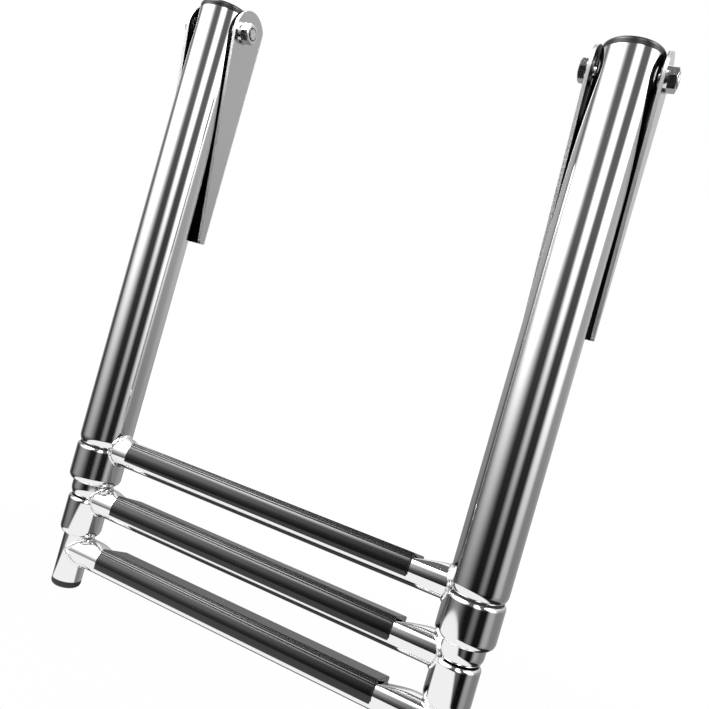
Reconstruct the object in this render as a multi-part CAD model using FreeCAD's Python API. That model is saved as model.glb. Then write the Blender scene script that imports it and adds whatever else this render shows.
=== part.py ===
import FreeCAD, Part
import math
import os

# Telescopic boat ladder: two hinge brackets, two tubular stiles in three sections that slide
# into each other, and three rungs with moulded treads.
# Millimetres. +X runs along the rungs, +Z up along the stiles to the pivots, -Y is the open side
# that the ladder swings out to. The origin is the middle of the flat back face of the left bracket.

V = FreeCAD.Vector

# Stiles
STILE_SPACING = 300.0
OUTER_TUBE_R = 19.0
OUTER_TUBE_LENGTH = 336.0
TUBE_WALL = 1.5
BUSH_WALL = 2.5
TUBE_ROLL_R = 3.0
SLIDE_TRAVEL = 230.0
SLIDE_GAP = 0.3
FIT_GAP = 0.1

# Brackets: a folded channel with a flat base and two ears that stand past its top
BRACKET_SHEET = 2.5
BRACKET_BEND_R = 4.0
EAR_GAP = 1.0
BASE_HALF_LENGTH = 69.0
STILE_BACK_GAP = 3.0
EAR_R = 18.5
EAR_FOOT_DEPTH = 8.5
EAR_FOOT_CORNER_R = 2.0
BASE_TO_PIVOT = 20.0
MOUNT_HOLE_R = 4.2
MOUNT_HOLE_SPACING = 90.0

# Pivot bolts with locknuts
PIVOT_BELOW_TUBE_TOP = 11.0
PIVOT_BOLT_R = 4.0
PIVOT_CLEARANCE = 0.07
HEX_ACROSS_FLATS = 13.0
HEX_CHAMFER = 0.9
BOLT_HEAD_HEIGHT = 4.6
NUT_HEIGHT = 6.0
NUT_COLLAR_R = 5.6
NUT_COLLAR_HEIGHT = 2.4
NUT_COLLAR_EDGE = 0.8
BOLT_END = 0.5
BOLT_CHAMFER = 0.8
WASHER_R = 8.0
WASHER_THICK = 1.4
SPACER_R = 9.0
SPACER_GAP = 0.2

# End collars under each tube, with the guide bush inside
COLLAR_STEP = 0.2
COLLAR_WALL = 1.6
UPPER_COLLAR_HEIGHT = 27.0
MIDDLE_COLLAR_HEIGHT = 27.0
COLLAR_TOP_R = 1.5
UPPER_COLLAR_ROLL_R = 3.4
MIDDLE_COLLAR_ROLL_R = 3.0
SLIDE_BUSH_LENGTH = 25.0
TUBE_ABOVE_BUSH = 1.0

# Rungs: round tube, pressed flat on top where the tread sits
RUNG_R = 11.0
RUNG_WALL = 1.5
RUNG_PITCH = 41.2
RUNG_BELOW_TUBE = 0.9
PRESS_START = 21.0
PRESS_RISE = 0.2
FLAT_HEIGHT = 6.0

# Treads
TREAD_TILT = 14.0
TREAD_LEFT_END = 31.0
TREAD_RIGHT_END = 42.5
TREAD_SKIN = 1.9
TREAD_TOP = 9.0
TREAD_BACK = 20.5
TREAD_BACK_THICK = 6.5
TREAD_BACK_EDGE_R = 1.2
TREAD_FRONT_WRAP = 30.0
TREAD_HEEL = 0.2
TREAD_HEEL_DROP = 1.0
TREAD_HOLLOW = 0.8
GROOVES = 3
GROOVE_PITCH = 1.5
GROOVE_R = 0.6
GROOVE_DEPTH = 0.5

# Caps and feet
CAP_THICK = 3.2
CAP_CHAMFER = 1.6
PLUG_DEPTH = 6.0
FOOT_HEIGHT = 5.5
FOOT_EDGE_R = 3.0
LOWER_TUBE_BELOW_RUNG = 24.0

# How far a cutting tool runs past the faces that it cuts
PAST = 1.0

# Worked out from the sizes above
MIDDLE_TUBE_R = OUTER_TUBE_R - TUBE_WALL - BUSH_WALL
LOWER_TUBE_R = MIDDLE_TUBE_R - TUBE_WALL - BUSH_WALL
UPPER_COLLAR_R = OUTER_TUBE_R + COLLAR_STEP
MIDDLE_COLLAR_R = MIDDLE_TUBE_R + COLLAR_STEP
INNER_HALF = OUTER_TUBE_R + EAR_GAP
OUTER_HALF = INNER_HALF + BRACKET_SHEET
AXIS_Y = -(BRACKET_SHEET + STILE_BACK_GAP + OUTER_TUBE_R)
PIVOT_Z = BASE_HALF_LENGTH + BASE_TO_PIVOT
TUBE_TOP_Z = PIVOT_Z + PIVOT_BELOW_TUBE_TOP
TUBE_BOTTOM_Z = TUBE_TOP_Z - OUTER_TUBE_LENGTH
RUNG_Z = [TUBE_BOTTOM_Z - RUNG_BELOW_TUBE - i * RUNG_PITCH for i in range(3)]
MIDDLE_BOTTOM_Z = TUBE_BOTTOM_Z - RUNG_PITCH
LOWER_BOTTOM_Z = RUNG_Z[2] - LOWER_TUBE_BELOW_RUNG
MIDDLE_BUSH_Z = TUBE_BOTTOM_Z + TUBE_ROLL_R + SLIDE_TRAVEL + SLIDE_GAP
LOWER_BUSH_Z = MIDDLE_BOTTOM_Z + TUBE_ROLL_R + SLIDE_TRAVEL + SLIDE_GAP
SIDES = {"left": 0.0, "right": STILE_SPACING}

os.makedirs("parts", exist_ok=True)


def save(name, shape):
    shape.exportStep("parts/" + name + ".step")


def cylinder(r, z0, z1, x=0.0):
    return Part.makeCylinder(r, z1 - z0, V(x, AXIS_Y, z0), V(0, 0, 1))


def bar(r, x0, x1, y, z):
    return Part.makeCylinder(r, x1 - x0, V(x0, y, z), V(1, 0, 0))


def box(x0, x1, y0, y1, z0, z1):
    return Part.makeBox(x1 - x0, y1 - y0, z1 - z0, V(x0, y0, z0))


def line(a, b):
    return Part.LineSegment(a, b).toShape()


def arc(a, m, b):
    return Part.Arc(a, m, b).toShape()


def turned(edges, x):
    """Turn a closed radius and height profile about a stile's axis."""
    face = Part.Face(Part.Wire(edges))
    solid = face.revolve(V(0, 0, 0), V(0, 0, 1), 360)
    return solid.translated(V(x, AXIS_Y, 0))


def quarter(cx, cz, r, a0, a1):
    """A quarter arc of a turned profile, from angle a0 to a1 in degrees."""
    def at(a):
        return V(cx + r * math.cos(math.radians(a)), 0, cz + r * math.sin(math.radians(a)))
    return arc(at(a0), at((a0 + a1) / 2), at(a1))


def edges_at(shape, x):
    """The edges that lie wholly in the plane at x."""
    return [e for e in shape.Edges if all(abs(v.X - x) < FIT_GAP for v in e.Vertexes)
            and abs(e.CenterOfMass.x - x) < FIT_GAP]


def hex_prism(x0, x1, outer_x, y, z):
    """A hexagon along X with two flats level, its corners chamfered at the end outer_x."""
    r = HEX_ACROSS_FLATS / 2 / math.cos(math.radians(30))
    pts = [V(x0, y + r * math.cos(math.radians(60 * i)), z + r * math.sin(math.radians(60 * i)))
           for i in range(6)]
    prism = Part.Face(Part.makePolygon(pts + pts[:1])).extrude(V(x1 - x0, 0, 0))
    blank = bar(r, x0, x1, y, z)
    return prism.common(blank.makeChamfer(HEX_CHAMFER, edges_at(blank, outer_x)))


def ear_outline():
    """Side view of a bracket: full round at the top, straight back, front edge sloping to the foot."""
    foot = -BASE_HALF_LENGTH
    low = V(0, -EAR_FOOT_DEPTH, foot)
    centre = V(0, -EAR_R, PIVOT_Z)
    reach = centre - low
    dist = math.hypot(reach.y, reach.z)
    along = math.atan2(reach.z, reach.y)
    spread = math.asin(EAR_R / dist)
    length = math.sqrt(dist ** 2 - EAR_R ** 2)
    tangent = V(0, low.y + length * math.cos(along + spread), low.z + length * math.sin(along + spread))
    crown = V(0, -EAR_R, PIVOT_Z + EAR_R)
    shoulder = V(0, 0, PIVOT_Z)
    heel = V(0, 0, foot)
    edges = [arc(tangent, crown, shoulder), line(shoulder, heel), line(heel, low), line(low, tangent)]
    return Part.Face(Part.Wire(edges))


def upright(edge):
    d = edge.Vertexes[1].Point - edge.Vertexes[0].Point
    return abs(d.x) < FIT_GAP and abs(d.y) < FIT_GAP


def folded(half, r, y0, y1, z0, z1):
    """A box about the bracket's middle plane, its two upright edges at the back y1 rounded."""
    block = box(-half, half, y0, y1, z0, z1)
    return block.makeFillet(r, [e for e in block.Edges if upright(e) and abs(e.CenterOfMass.y - y1) < FIT_GAP])


def bracket(x):
    foot, top = -BASE_HALF_LENGTH, PIVOT_Z + EAR_R + PAST
    front = AXIS_Y - EAR_R
    outer = folded(OUTER_HALF, BRACKET_BEND_R, front, 0, foot, top)
    inner = folded(INNER_HALF, BRACKET_BEND_R - BRACKET_SHEET, front - PAST, -BRACKET_SHEET, foot - PAST, top + PAST)
    channel = outer.cut(inner)
    channel = channel.cut(box(-INNER_HALF, INNER_HALF, -BRACKET_BEND_R, PAST, BASE_HALF_LENGTH, top + PAST))
    side = ear_outline().extrude(V(2 * OUTER_HALF + 2 * PAST, 0, 0)).translated(V(-OUTER_HALF - PAST, 0, 0))
    corners = [e for e in side.Edges if abs(e.CenterOfMass.x) < FIT_GAP
               and abs(e.CenterOfMass.y + EAR_FOOT_DEPTH) < FIT_GAP and abs(e.CenterOfMass.z - foot) < FIT_GAP]
    channel = channel.common(side.makeFillet(EAR_FOOT_CORNER_R, corners))
    channel = channel.cut(bar(PIVOT_BOLT_R + FIT_GAP, -OUTER_HALF - PAST, OUTER_HALF + PAST, AXIS_Y, PIVOT_Z))
    for z in (-MOUNT_HOLE_SPACING / 2, MOUNT_HOLE_SPACING / 2):
        channel = channel.cut(Part.makeCylinder(MOUNT_HOLE_R, 2 * PAST + BRACKET_SHEET,
                                                V(0, -PAST - BRACKET_SHEET, z), V(0, 1, 0)))
    return channel.translated(V(x, 0, 0))


def pivot_bolt(x):
    head = OUTER_HALF + WASHER_THICK
    end = x + head + NUT_HEIGHT + NUT_COLLAR_HEIGHT + BOLT_END
    shank = bar(PIVOT_BOLT_R, x - head, end, AXIS_Y, PIVOT_Z)
    shank = shank.makeChamfer(BOLT_CHAMFER, edges_at(shank, end))
    outer = x - head - BOLT_HEAD_HEIGHT
    return shank.fuse(hex_prism(outer, x - head, outer, AXIS_Y, PIVOT_Z)).removeSplitter()


def pivot_nut(x):
    start = x + OUTER_HALF + WASHER_THICK
    flats = start + NUT_HEIGHT
    end = flats + NUT_COLLAR_HEIGHT
    collar = bar(NUT_COLLAR_R, start, end, AXIS_Y, PIVOT_Z)
    collar = collar.makeFillet(NUT_COLLAR_EDGE, edges_at(collar, end))
    nut = hex_prism(start, flats, flats, AXIS_Y, PIVOT_Z).fuse(collar)
    return nut.cut(bar(PIVOT_BOLT_R, start - PAST, end + PAST, AXIS_Y, PIVOT_Z))


def ring(r, x0, x1):
    hole = bar(PIVOT_BOLT_R, x0 - PAST, x1 + PAST, AXIS_Y, PIVOT_Z)
    return bar(r, x0, x1, AXIS_Y, PIVOT_Z).cut(hole)


def pivot_washers(x):
    outside = [ring(WASHER_R, x - OUTER_HALF - WASHER_THICK, x - OUTER_HALF),
               ring(WASHER_R, x + OUTER_HALF, x + OUTER_HALF + WASHER_THICK)]
    start = OUTER_TUBE_R + SPACER_GAP
    inside = [ring(SPACER_R, x - INNER_HALF, x - start), ring(SPACER_R, x + start, x + INNER_HALF)]
    return Part.makeCompound(outside + inside)


def rolled_tube(r, lip, z0, z1, x):
    """A tube whose lower edge is rolled in to the radius lip."""
    rr, w = TUBE_ROLL_R, TUBE_WALL
    edges = [line(V(r - w, 0, z1), V(r, 0, z1)), line(V(r, 0, z1), V(r, 0, z0 + rr)),
             quarter(r - rr, z0 + rr, rr, 0, -90), line(V(r - rr, 0, z0), V(lip, 0, z0)),
             line(V(lip, 0, z0), V(lip, 0, z0 + w)), line(V(lip, 0, z0 + w), V(r - rr, 0, z0 + w)),
             quarter(r - rr, z0 + rr, rr - w, -90, 0), line(V(r - w, 0, z0 + rr), V(r - w, 0, z1))]
    return turned(edges, x)


def collar(r, lip, height, roll, z1, x):
    """A hollow end collar: small round at the top, large round at the bottom, a bush cavity inside."""
    w, z0, t = COLLAR_WALL, z1 - height, COLLAR_TOP_R
    edges = [line(V(lip, 0, z1), V(r - t, 0, z1)), quarter(r - t, z1 - t, t, 90, 0),
             line(V(r, 0, z1 - t), V(r, 0, z0 + roll)), quarter(r - roll, z0 + roll, roll, 0, -90),
             line(V(r - roll, 0, z0), V(lip, 0, z0)), line(V(lip, 0, z0), V(lip, 0, z0 + w)),
             line(V(lip, 0, z0 + w), V(r - roll, 0, z0 + w)), quarter(r - roll, z0 + roll, roll - w, -90, 0),
             line(V(r - w, 0, z0 + roll), V(r - w, 0, z1 - w)), line(V(r - w, 0, z1 - w), V(lip, 0, z1 - w)),
             line(V(lip, 0, z1 - w), V(lip, 0, z1))]
    return turned(edges, x)


def sleeve(r0, r1, z0, z1, x):
    return cylinder(r1, z0, z1, x).cut(cylinder(r0, z0 - PAST, z1 + PAST, x))


def outer_tube(x):
    tube = rolled_tube(OUTER_TUBE_R, MIDDLE_TUBE_R + 2 * SLIDE_GAP, TUBE_BOTTOM_Z, TUBE_TOP_Z, x)
    hole = bar(PIVOT_BOLT_R + PIVOT_CLEARANCE, x - 2 * OUTER_TUBE_R, x + 2 * OUTER_TUBE_R, AXIS_Y, PIVOT_Z)
    return tube.cut(hole)


def middle_tube(x):
    top = MIDDLE_BUSH_Z + SLIDE_BUSH_LENGTH + TUBE_ABOVE_BUSH
    return rolled_tube(MIDDLE_TUBE_R, LOWER_TUBE_R + 2 * SLIDE_GAP, MIDDLE_BOTTOM_Z, top, x)


def lower_tube(x):
    top = LOWER_BUSH_Z + SLIDE_BUSH_LENGTH + TUBE_ABOVE_BUSH
    return sleeve(LOWER_TUBE_R - TUBE_WALL, LOWER_TUBE_R, LOWER_BOTTOM_Z, top, x)


def slide_bush(tube_r, bore_r, z, x):
    return sleeve(tube_r, bore_r - SLIDE_GAP, z, z + SLIDE_BUSH_LENGTH, x)


def guide_bush(tube_r, collar_r, height, roll, z1, x):
    r1 = collar_r - COLLAR_WALL - FIT_GAP
    return sleeve(tube_r + SLIDE_GAP, r1, z1 - height + roll, z1 - COLLAR_WALL, x)


def cap(x):
    z = TUBE_TOP_Z
    r, c, p = OUTER_TUBE_R, CAP_CHAMFER, OUTER_TUBE_R - TUBE_WALL
    pts = [V(0, 0, z - PLUG_DEPTH), V(p, 0, z - PLUG_DEPTH), V(p, 0, z), V(r, 0, z),
           V(r, 0, z + CAP_THICK - c), V(r - c, 0, z + CAP_THICK), V(0, 0, z + CAP_THICK)]
    return turned([line(a, b) for a, b in zip(pts, pts[1:] + pts[:1])], x)


def foot(x):
    z, e = LOWER_BOTTOM_Z, FOOT_EDGE_R
    r, p = LOWER_TUBE_R, LOWER_TUBE_R - TUBE_WALL
    z0 = z - FOOT_HEIGHT
    edges = [line(V(0, 0, z + PLUG_DEPTH), V(p, 0, z + PLUG_DEPTH)), line(V(p, 0, z + PLUG_DEPTH), V(p, 0, z)),
             line(V(p, 0, z), V(r, 0, z)), line(V(r, 0, z), V(r, 0, z0 + e)),
             quarter(r - e, z0 + e, e, 0, -90), line(V(r - e, 0, z0), V(0, 0, z0)),
             line(V(0, 0, z0), V(0, 0, z + PLUG_DEPTH))]
    return turned(edges, x)


def tilted(shape, z):
    """Lean a piece made level about a rung's axis, so that the tread is level on a slanted ladder."""
    shape = shape.copy()
    shape.rotate(V(0, AXIS_Y, z), V(1, 0, 0), -TREAD_TILT)
    return shape


def pressed_bar(r, flat, z):
    """A round bar along the rung with its top pressed flat under the tread, rising to round at each end."""
    left, right = PRESS_START, STILE_SPACING - PRESS_START
    pts = [(left, r + PRESS_RISE), (TREAD_LEFT_END, flat), (STILE_SPACING - TREAD_RIGHT_END, flat),
           (right, r + PRESS_RISE), (right, 2 * r), (left, 2 * r)]
    pts = [V(x, AXIS_Y - 2 * r, z + n) for x, n in pts]
    press = Part.Face(Part.makePolygon(pts + pts[:1])).extrude(V(0, 4 * r, 0))
    return bar(r, 0, STILE_SPACING, AXIS_Y, z).cut(press)


def rung(z, sockets):
    shape = pressed_bar(RUNG_R, FLAT_HEIGHT, z).cut(pressed_bar(RUNG_R - RUNG_WALL, FLAT_HEIGHT - RUNG_WALL, z))
    shape = tilted(shape, z)
    for socket in sockets:
        shape = shape.cut(socket)
    return max(shape.Solids, key=lambda s: s.Volume)


def stile_sockets(parts):
    """The filled outsides of the stile pieces that a rung's ends are shaped to."""
    return [cylinder(r, z0, z1, x) for x in SIDES.values() for r, z0, z1 in parts]


def tread(z):
    """Moulded tread: grooved nose and front wall round the rung, flat top, thick edge at the back."""
    ri, ro = RUNG_R + FIT_GAP, RUNG_R + TREAD_SKIN
    flat, top, edge = FLAT_HEIGHT + FIT_GAP, TREAD_TOP, TREAD_BACK_EDGE_R
    base = top - TREAD_BACK_THICK

    def at(v, n):
        return V(TREAD_LEFT_END, AXIS_Y + v, z + n)

    def polar(r, a):
        return at(r * math.cos(math.radians(a)), r * math.sin(math.radians(a)))

    def corner(v, n, a0, a1):
        """The rounded back corner centred on v and n, from angle a0 to a1."""
        ends = [at(v + edge * math.cos(math.radians(a)), n + edge * math.sin(math.radians(a)))
                for a in (a0, (a0 + a1) / 2, a1)]
        return arc(*ends)

    front_a = 180 + TREAD_FRONT_WRAP
    nose_a = 180 - math.degrees(math.asin(top / ro))
    flat_a = math.degrees(math.asin(flat / ri))
    heel_a = -math.degrees(math.asin(TREAD_HEEL_DROP / ri))
    inset = TREAD_BACK - edge
    heel = at(ro + TREAD_HEEL, -TREAD_HEEL_DROP)
    hollow = at((ro + TREAD_HEEL + inset) / 2 - TREAD_HOLLOW, (base - TREAD_HEEL_DROP) / 2 + TREAD_HOLLOW)
    edges = [arc(polar(ro, front_a), polar(ro, (front_a + nose_a) / 2), polar(ro, nose_a)),
             line(polar(ro, nose_a), at(inset, top)),
             corner(inset, top - edge, 90, 0),
             line(at(TREAD_BACK, top - edge), at(TREAD_BACK, base + edge)),
             corner(inset, base + edge, 0, -90),
             arc(at(inset, base), hollow, heel),
             line(heel, polar(ri, heel_a)),
             arc(polar(ri, heel_a), polar(ri, (heel_a + flat_a) / 2), polar(ri, flat_a)),
             line(polar(ri, flat_a), polar(ri, 180 - flat_a)),
             arc(polar(ri, 180 - flat_a), polar(ri, (180 - flat_a + front_a) / 2), polar(ri, front_a)),
             line(polar(ri, front_a), polar(ro, front_a))]
    length = STILE_SPACING - TREAD_LEFT_END - TREAD_RIGHT_END
    solid = Part.Face(Part.Wire(edges)).extrude(V(length, 0, 0))
    for i in range(GROOVES):
        a = nose_a + math.degrees((i + 1) * GROOVE_PITCH / ro)
        centre = polar(ro + GROOVE_R - GROOVE_DEPTH, a)
        solid = solid.cut(bar(GROOVE_R, centre.x - PAST, centre.x + length + PAST, centre.y, centre.z))
    return tilted(solid, z)


for side, x in SIDES.items():
    save("bracket_" + side, bracket(x))
    save("pivot_bolt_" + side, pivot_bolt(x))
    save("pivot_nut_" + side, pivot_nut(x))
    save("pivot_washers_" + side, pivot_washers(x))
    save("outer_tube_" + side, outer_tube(x))
    save("top_cap_" + side, cap(x))
    save("upper_collar_" + side, collar(UPPER_COLLAR_R, MIDDLE_TUBE_R + 2 * SLIDE_GAP, UPPER_COLLAR_HEIGHT,
                                        UPPER_COLLAR_ROLL_R, TUBE_BOTTOM_Z, x))
    save("upper_guide_bush_" + side, guide_bush(MIDDLE_TUBE_R, UPPER_COLLAR_R, UPPER_COLLAR_HEIGHT,
                                                UPPER_COLLAR_ROLL_R, TUBE_BOTTOM_Z, x))
    save("middle_tube_" + side, middle_tube(x))
    save("middle_slide_bush_" + side, slide_bush(MIDDLE_TUBE_R, OUTER_TUBE_R - TUBE_WALL, MIDDLE_BUSH_Z, x))
    save("middle_collar_" + side, collar(MIDDLE_COLLAR_R, LOWER_TUBE_R + 2 * SLIDE_GAP, MIDDLE_COLLAR_HEIGHT,
                                         MIDDLE_COLLAR_ROLL_R, MIDDLE_BOTTOM_Z, x))
    save("middle_guide_bush_" + side, guide_bush(LOWER_TUBE_R, MIDDLE_COLLAR_R, MIDDLE_COLLAR_HEIGHT,
                                                 MIDDLE_COLLAR_ROLL_R, MIDDLE_BOTTOM_Z, x))
    save("lower_tube_" + side, lower_tube(x))
    save("lower_slide_bush_" + side, slide_bush(LOWER_TUBE_R, MIDDLE_TUBE_R - TUBE_WALL, LOWER_BUSH_Z, x))
    save("foot_" + side, foot(x))

save("upper_rung", rung(RUNG_Z[0], stile_sockets([
    (OUTER_TUBE_R, TUBE_BOTTOM_Z, TUBE_TOP_Z),
    (UPPER_COLLAR_R, TUBE_BOTTOM_Z - UPPER_COLLAR_HEIGHT, TUBE_BOTTOM_Z)])))
save("middle_rung", rung(RUNG_Z[1], stile_sockets([
    (MIDDLE_TUBE_R, MIDDLE_BOTTOM_Z, TUBE_BOTTOM_Z),
    (MIDDLE_COLLAR_R, MIDDLE_BOTTOM_Z - MIDDLE_COLLAR_HEIGHT, MIDDLE_BOTTOM_Z)])))
save("lower_rung", rung(RUNG_Z[2], stile_sockets([(LOWER_TUBE_R, LOWER_BOTTOM_Z, MIDDLE_BOTTOM_Z)])))
for name, z in zip(("upper_tread", "middle_tread", "lower_tread"), RUNG_Z):
    save(name, tread(z))
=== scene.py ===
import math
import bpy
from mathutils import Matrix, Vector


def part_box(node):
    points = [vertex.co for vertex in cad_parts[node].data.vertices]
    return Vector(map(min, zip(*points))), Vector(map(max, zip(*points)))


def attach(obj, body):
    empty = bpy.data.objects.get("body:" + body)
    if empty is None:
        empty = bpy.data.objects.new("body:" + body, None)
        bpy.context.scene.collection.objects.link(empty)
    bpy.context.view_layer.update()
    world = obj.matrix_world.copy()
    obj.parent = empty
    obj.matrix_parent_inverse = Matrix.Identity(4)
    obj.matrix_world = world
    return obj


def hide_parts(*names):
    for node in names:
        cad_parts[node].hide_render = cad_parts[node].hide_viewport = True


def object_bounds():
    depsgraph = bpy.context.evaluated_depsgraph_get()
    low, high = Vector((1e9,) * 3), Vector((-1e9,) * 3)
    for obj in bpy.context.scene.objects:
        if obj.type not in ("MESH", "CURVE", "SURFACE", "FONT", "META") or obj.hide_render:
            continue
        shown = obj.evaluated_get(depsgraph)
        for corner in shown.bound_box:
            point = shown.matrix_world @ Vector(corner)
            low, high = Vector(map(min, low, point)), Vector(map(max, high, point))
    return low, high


bl_info = {
    "name": "Telescopic boat ladder",
    "version": (1, 0, 0),
    "blender": (4, 5, 0),
    "location": "3D View > Sidebar > Ladder",
    "description": "Polished tubes, welds, moulded treads and studio of a telescopic boat ladder",
    "category": "Add Mesh",
}

from types import SimpleNamespace

import bpy
import numpy as np
from bpy.props import FloatProperty, FloatVectorProperty, IntProperty, PointerProperty
from mathutils import Matrix, Vector

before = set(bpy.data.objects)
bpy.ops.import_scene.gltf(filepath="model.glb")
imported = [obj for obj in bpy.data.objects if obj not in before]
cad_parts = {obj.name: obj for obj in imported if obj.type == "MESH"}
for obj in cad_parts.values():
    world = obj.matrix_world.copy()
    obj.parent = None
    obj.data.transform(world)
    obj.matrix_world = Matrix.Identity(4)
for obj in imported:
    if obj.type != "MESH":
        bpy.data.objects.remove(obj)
CAD_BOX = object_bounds()
SIDES = ("left", "right")
SECTIONS = ("upper", "middle", "lower")
MM = 0.001


# Settings

def mm(name, description, value):
    """A length setting whose default is given in millimetres."""
    return FloatProperty(name=name, description=description, default=value * MM, unit="LENGTH")


def degrees(name, description, value):
    """An angle setting whose default is given in degrees."""
    return FloatProperty(name=name, description=description, default=math.radians(value), unit="ROTATION")


def tint(name, description, value):
    """A colour setting."""
    return FloatVectorProperty(name=name, description=description, subtype="COLOR", default=value,
                               min=0.0, max=1.0)


class TubeSizes(bpy.types.PropertyGroup):
    wall: mm("Tube wall", "Thickness of the stile tubes", 1.5)
    swage: mm("Swage round", "Arc that draws a tube's lower end in", 9.9)
    lip: mm("Lip", "Flat face at a drawn-in end", 0.4)
    collar_top: mm("Collar top round", "Round of a collar's upper edge", 2.4)
    collar_foot: mm("Collar foot round", "Round of a collar's lower end", 5.5)
    outer_seam: mm("Outer seam drop", "Outer tube's seam below its solid's", 2.4)
    middle_seam: mm("Middle seam drop", "Middle tube's seam below its solid's", 1.6)
    collar_drop: mm("Collar drop", "Collar's lower end below its solid's", 3.5)
    bore_gap: mm("Bore gap", "Air between a bore and the tube inside it", 0.6)
    around: IntProperty(name="Faces around", description="Faces round a tube", default=256, min=32)


class EndSizes(bpy.types.PropertyGroup):
    cap_rise: mm("Cap rise", "How far a top cap stands over its tube", 5.2)
    cap_edge: mm("Cap edge round", "Round of the cap's upper edge", 2.6)
    plug: mm("Plug depth", "How far a cap or foot goes into its tube", 6.0)
    foot_edge: mm("Foot edge round", "Round of a foot's lower edge", 3.0)


class RungSizes(bpy.types.PropertyGroup):
    wall: mm("Rung wall", "Thickness of the rung tube", 1.5)
    tilt: degrees("Tread tilt", "Lean of flat and tread, level on a slanted ladder", 14.0)
    flat: mm("Flat height", "Height of the pressed flat over the rung's axis", 6.0)
    press_start: mm("Press start", "Where the pressed slope starts, from the stile", 21.0)
    press_round: mm("Press round", "Softness of the pressed flat's edges", 0.35)
    tuck: mm("Tuck", "How far a rung's end reaches into the stile's wall", 0.5)
    bead: mm("Weld bead", "Radius of the weld bead", 1.9)
    bead_sink: mm("Bead sink", "How far the bead's middle lies in the corner", 0.5)
    bead_depth: mm("Bead depth", "How far a bead reaches into the stile's wall", 0.9)
    bead_room: mm("Bead room", "Air between a bead and the collar above it", 0.25)
    ripple: FloatProperty(name="Ripple", description="Height of the weld's ripples as a share of its radius",
                          default=0.10, min=0.0, max=0.5)
    ripples: IntProperty(name="Ripples", description="Weld ripples round one joint", default=20, min=4)


class TreadSizes(bpy.types.PropertyGroup):
    skin: mm("Skin", "Thickness of the wall round the rung", 1.8)
    gap: mm("Fit gap", "Air between tread and rung", 0.1)
    top: mm("Top height", "Height of the tread's top over the rung's axis", 9.0)
    back: mm("Back reach", "How far the tread stands behind the rung's axis", 20.5)
    back_thick: mm("Back thickness", "Thickness of the back edge", 6.5)
    edge: mm("Edge round", "Round of the back edge", 1.2)
    wrap: degrees("Front wrap", "How far the front wall goes under the rung", 30.0)
    heel: mm("Heel drop", "How far the back reaches below the rung's axis", 1.0)
    hollow: mm("Hollow", "Hollow of the underside of the back edge", 0.8)
    grooves: IntProperty(name="Grooves", description="Fine grooves along the nose", default=3, min=0)
    pitch: mm("Groove pitch", "Distance between grooves", 1.5)
    groove: mm("Groove depth", "Depth of a groove", 0.45)
    bevel: mm("End bevel", "Bevel at the tread's cut ends", 0.9)


class PivotSizes(bpy.types.PropertyGroup):
    sheet: mm("Sheet", "Thickness of the brackets' folded sheet", 2.5)
    flats: mm("Across flats", "Width of bolt head and nut across their flats", 13.0)
    head: mm("Head height", "Height of the bolt's head", 4.6)
    nut: mm("Nut height", "Height of the locknut", 5.2)
    thread: mm("Thread radius", "Radius of the bolt's shank", 4.0)
    proud: mm("Bolt end", "How far the bolt's end stands out of its nut", 0.6)
    chamfer: mm("Chamfer", "How far inside the flats the outer chamfer starts", 0.3)


class FinishColours(bpy.types.PropertyGroup):
    steel: tint("Stainless", "Colour of the polished stainless steel", (0.92, 0.92, 0.925))
    sheet: tint("Sheet", "Colour of the brackets' polished outside", (0.76, 0.76, 0.765))
    # painted shade: the brackets' inside is coloured near black for the shade between their walls; its
    # dullness is real
    inside: tint("Sheet painted shade", "Colour of the brackets' dull inside", (0.015, 0.015, 0.015))
    plastic: tint("Tread plastic", "Colour of the moulded treads", (0.004, 0.004, 0.0042))
    rubber: tint("Rubber", "Colour of caps and feet", (0.016, 0.016, 0.016))
    nylon: tint("Nylon", "Colour of the bushes inside the stiles", (0.03, 0.03, 0.03))


class StudioSettings(bpy.types.PropertyGroup):
    eye: FloatVectorProperty(name="Camera place", description="Where the camera stands",
                             subtype="TRANSLATION", default=(0.37294, -0.48742, -0.1127))
    yaw: degrees("Yaw", "Turn of the camera to the left", 23.073)
    pitch: degrees("Pitch", "Tilt of the camera upwards", -0.859)
    roll: degrees("Roll", "Roll of the camera", -15.963)
    focal: FloatProperty(name="Focal length", description="In pixels of the photograph's frame",
                         default=750.1)
    middle: FloatVectorProperty(name="Picture middle", description="Where the lens points, in pixels",
                                size=2, default=(349.4, 356.4))
    floor_drop: mm("Floor drop", "Floor below the stile's feet", 370.0)
    tent: mm("Tent radius", "Radius of the light tent that the metal reflects", 4000.0)
    table: mm("Table radius", "Radius of the bright table that the metal reflects", 330.0)
    table_drop: mm("Table drop", "Table below the stile's feet", 50.0)


PICTURE = 709
SENSOR = 36.0


def settings():
    return bpy.context.scene.boat_ladder


# Profiles and surfaces

SUPPORT = 0.25 * MM
NEAR = 0.1 * MM
AXIS_HOLE = 0.2 * MM
ARC_STEP = math.radians(9)
FINE_STEP = math.radians(4)
QUARTER = math.pi / 2


def straight(a, b):
    """Points on the line from a to b, with one close to each end so that long faces stay flat."""
    a, b = np.array(a, float), np.array(b, float)
    length = np.linalg.norm(b - a)
    near = min(SUPPORT / length, 0.3) if length else 0.3
    t = np.array([0.0, near, 1.0 - near, 1.0])
    return a + t[:, None] * (b - a)


def through(*corners):
    """Straight lines from each corner to the next."""
    return np.concatenate([straight(a, b) for a, b in zip(corners, corners[1:])])


def bend(centre, r, a0, a1, step=ARC_STEP):
    """Points on the circle of radius r about the centre, from angle a0 to a1 in radians."""
    t = np.linspace(a0, a1, max(3, int(abs(a1 - a0) / step) + 2))
    return np.array(centre) + r * np.stack([np.cos(t), np.sin(t)], -1)


def chain(*parts):
    """The parts one after the other, without points that repeat the one before."""
    pts = np.concatenate([np.atleast_2d(p) for p in parts])
    keep = np.r_[True, np.linalg.norm(np.diff(pts, axis=0), axis=1) > 1e-7]
    return pts[keep]


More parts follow.
